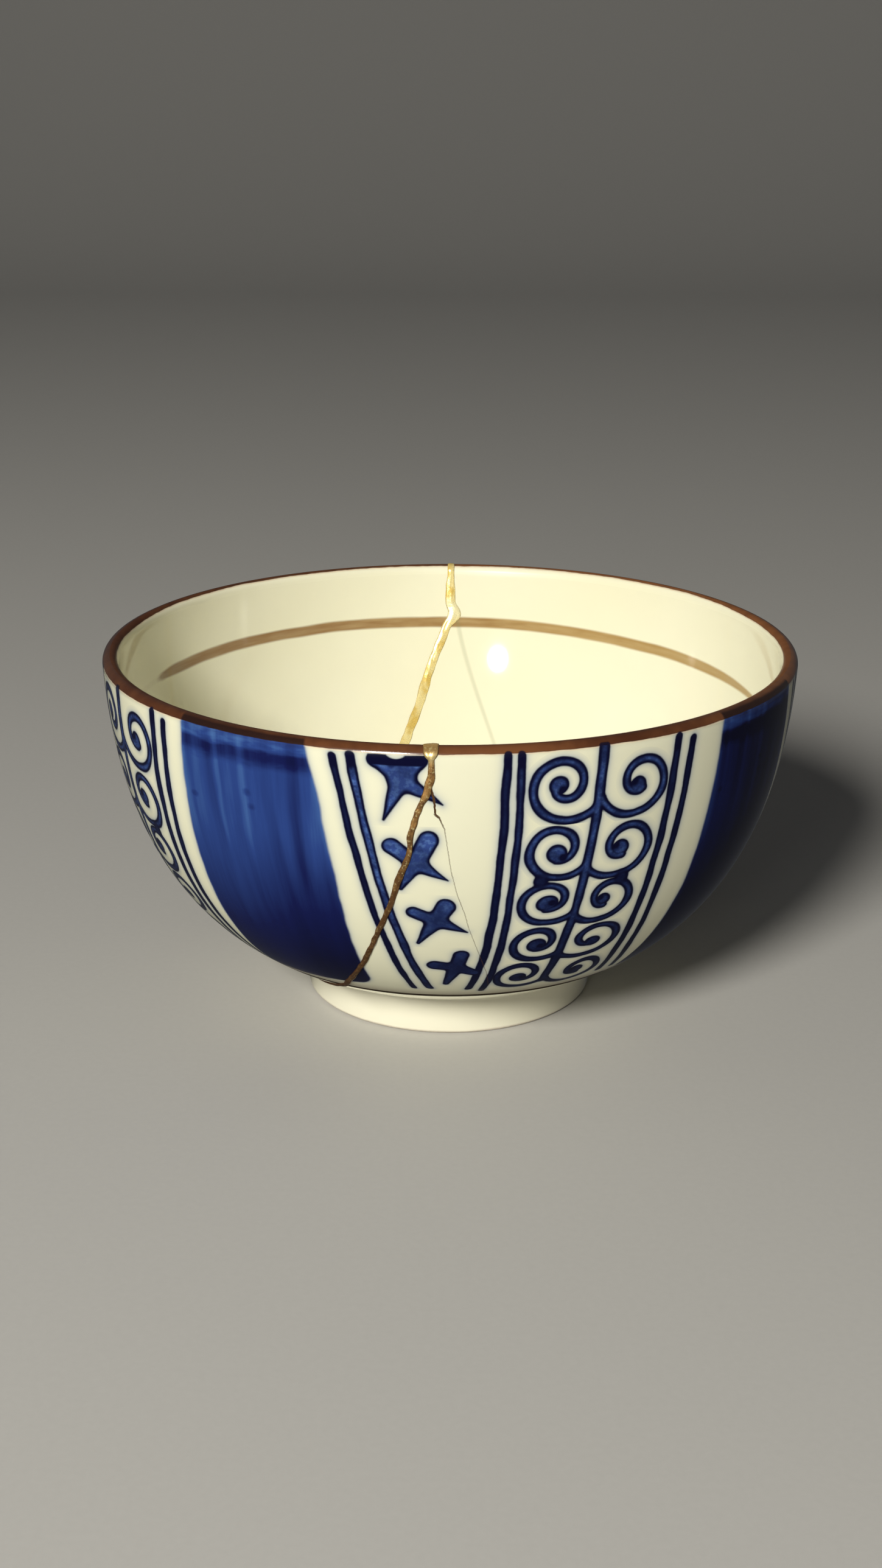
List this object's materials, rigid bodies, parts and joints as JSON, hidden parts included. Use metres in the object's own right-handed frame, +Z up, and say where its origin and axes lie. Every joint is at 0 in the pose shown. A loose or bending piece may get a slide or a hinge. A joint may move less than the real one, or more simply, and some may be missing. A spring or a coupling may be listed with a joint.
{
  "type": "kintsugi rice bowl",
  "caption": "Thin porcelain rice bowl on a foot ring, painted with blue bands, scrolls and star flowers, its break from rim to rim mended with a raised gold lacquer seam.",
  "frame": {"origin": "centre of the foot ring's underside", "axes": "+Z up out of the bowl's mouth, the painted star column and the front of the gold seam towards -Y, the left shard towards -X"},
  "size_m": [0.12, 0.1207, 0.0635],
  "materials": {
    "porcelain": "glossy clear glaze over warm white porcelain, hand-painted in cobalt blue, with an iron-brown rim",
    "gold_lacquer": "satin powdered gold over lacquer, slightly uneven"
  },
  "bodies": {
    "root": {"left_shard": "porcelain", "right_shard": "porcelain", "gold_seam": "gold_lacquer"}
  },
  "joints": []
}
